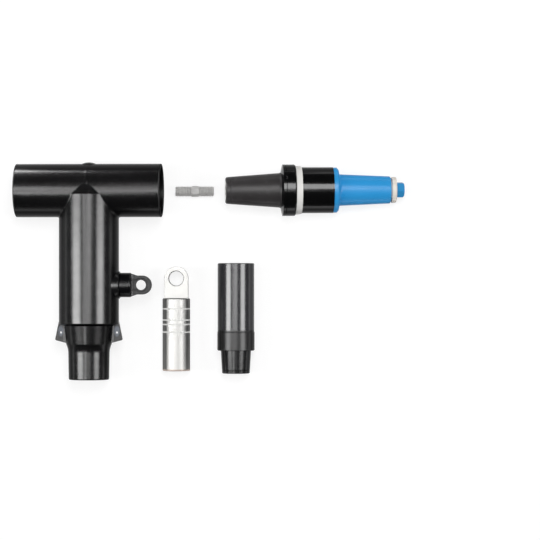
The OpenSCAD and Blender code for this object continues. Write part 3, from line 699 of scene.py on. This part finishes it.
# Studio: a plain white table that keeps its white where it is seen or reflected, in a dim room.
table_glow = 0.79
bpy.ops.mesh.primitive_plane_add(size=30, location=(0, 0, 0))
table = bpy.context.object
table.name = "table"
top, tree, surface, place = start_finish("White table", Roughness=0.9, Specular_IOR_Level=0.1,
                                         Emission_Color=(1.0, 1.0, 1.0, 1.0))
rays = fit(tree, "LightPath").outputs
seen = maths(tree, "MAXIMUM", rays["Is Camera Ray"], rays["Is Glossy Ray"])
seen = maths(tree, "MAXIMUM", seen, rays["Is Transmission Ray"])
white = fit(tree, "Mix", {0: seen, 6: (0.86, 0.86, 0.86, 1.0), 7: (0.24, 0.24, 0.24, 1.0)}, data_type="RGBA")
tree.links.new(white.outputs[2], surface.inputs["Base Color"])
tree.links.new(maths(tree, "MULTIPLY", seen, table_glow), surface.inputs["Emission Strength"])
table.data.materials.append(top)

world = bpy.data.worlds.new("Dim room")
bpy.context.scene.world = world
world.use_nodes = True
tree = world.node_tree
height = fit(tree, "SeparateXYZ", {0: fit(tree, "TexCoord").outputs["Generated"]}).outputs["Z"]
walls = fit(tree, "ValToRGB", {0: height})
for stop, (position, grey) in zip(walls.color_ramp.elements, ((0.04, 0.06), (0.22, 0.016))):
    stop.position = position
    stop.color = (grey, grey, grey, 1.0)
tree.links.new(walls.outputs["Color"], tree.nodes["Background"].inputs["Color"])


# Lamps: soft boxes at both sides for the two long streaks, panels under the ceiling for the tops, a fill
# panel that isn't reflected, and two cards near the table for the lower flanks. None of them is seen.
ceiling = 3.8
side_box_turn = (0, math.radians(-45.6), 0)


def soft_box(name, place, turn, width, length, glow_level):
    lamp = bpy.data.lights.new(name, "AREA")
    lamp.shape = "RECTANGLE"
    lamp.size = width
    lamp.size_y = length
    lamp.energy = glow_level * math.pi * width * length
    box = bpy.data.objects.new(name, lamp)
    box.location = place
    box.rotation_euler = turn
    box.visible_camera = False
    bpy.context.collection.objects.link(box)
    return box


def overhead(name, x, y, width, length, glow_level):
    return soft_box(name, (x, y, ceiling), (0, 0, 0), width, length, glow_level)


soft_box("left_box", (-1.928, -0.20, 1.852), side_box_turn, 1.36, 0.40, 9.6)
soft_box("left_box_back", (-1.928, 0.11, 1.852), side_box_turn, 1.36, 0.22, 7.6)
soft_box("right_box", (1.80, -0.09, 1.846), (0, math.radians(46), 0), 1.20, 0.62, 7.4)
overhead("overhead_panel", 0.175, 1.20, 0.85, 2.0, 4.3)
overhead("overhead_front", -0.05, -0.07, 1.30, 0.46, 4.3)
overhead("overhead_right", 0.875, 1.3, 0.55, 1.8, 4.3)
overhead("over_stem", -0.825, -0.09, 0.25, 0.42, 4.6)
overhead("over_tee", -0.60, 0.85, 0.70, 1.3, 0.55)
overhead("over_left_mouth", -1.20, 0.60, 0.36, 0.9, 8.0)
overhead("overhead_left", -1.24, -0.68, 0.52, 0.84, 7.0)
fill = soft_box("fill_panel", (0.25, 0.9, 3.2), (0, 0, 0), 1.0, 1.0, 10.5)
fill.visible_glossy = False
soft_box("low_card", (-0.565, 0.74, 0.040), (math.radians(184.3), 0, 0), 0.48, 0.94, 22.0)
soft_box("left_floor_card", (-0.62, -0.03, 0.006), (math.radians(180), 0, 0), 0.42, 0.50, 2.6)


# Black flag: it lies behind the tee and keeps the white table out of the crossbar's upper flank.
bpy.ops.mesh.primitive_plane_add(size=1, location=(-0.06, 1.03, 0.008))
flag = bpy.context.object
flag.name = "black_flag"
flag.data.transform(Matrix.Diagonal((0.5, 1.15, 1.0, 1.0)))
cloth = start_finish("Black cloth", Base_Color=(0.004, 0.004, 0.004, 1.0), Roughness=0.9,
                     Specular_IOR_Level=0.05)[0]
flag.data.materials.append(cloth)
flag.visible_camera = False
flag.visible_shadow = False
flag.visible_diffuse = False


# Camera: it hangs over the table and looks straight down.
half_view = math.radians(7)
lens = bpy.data.cameras.new("Camera")
lens.sensor_width = 36
lens.lens = lens.sensor_width / 2 / math.tan(half_view)
lens.clip_end = 100
camera = bpy.data.objects.new("Camera", lens)
camera.location = (0.0901, 0.001375, 3.345)
bpy.context.collection.objects.link(camera)
bpy.context.scene.camera = camera
bpy.context.scene.view_settings.view_transform = "Standard"
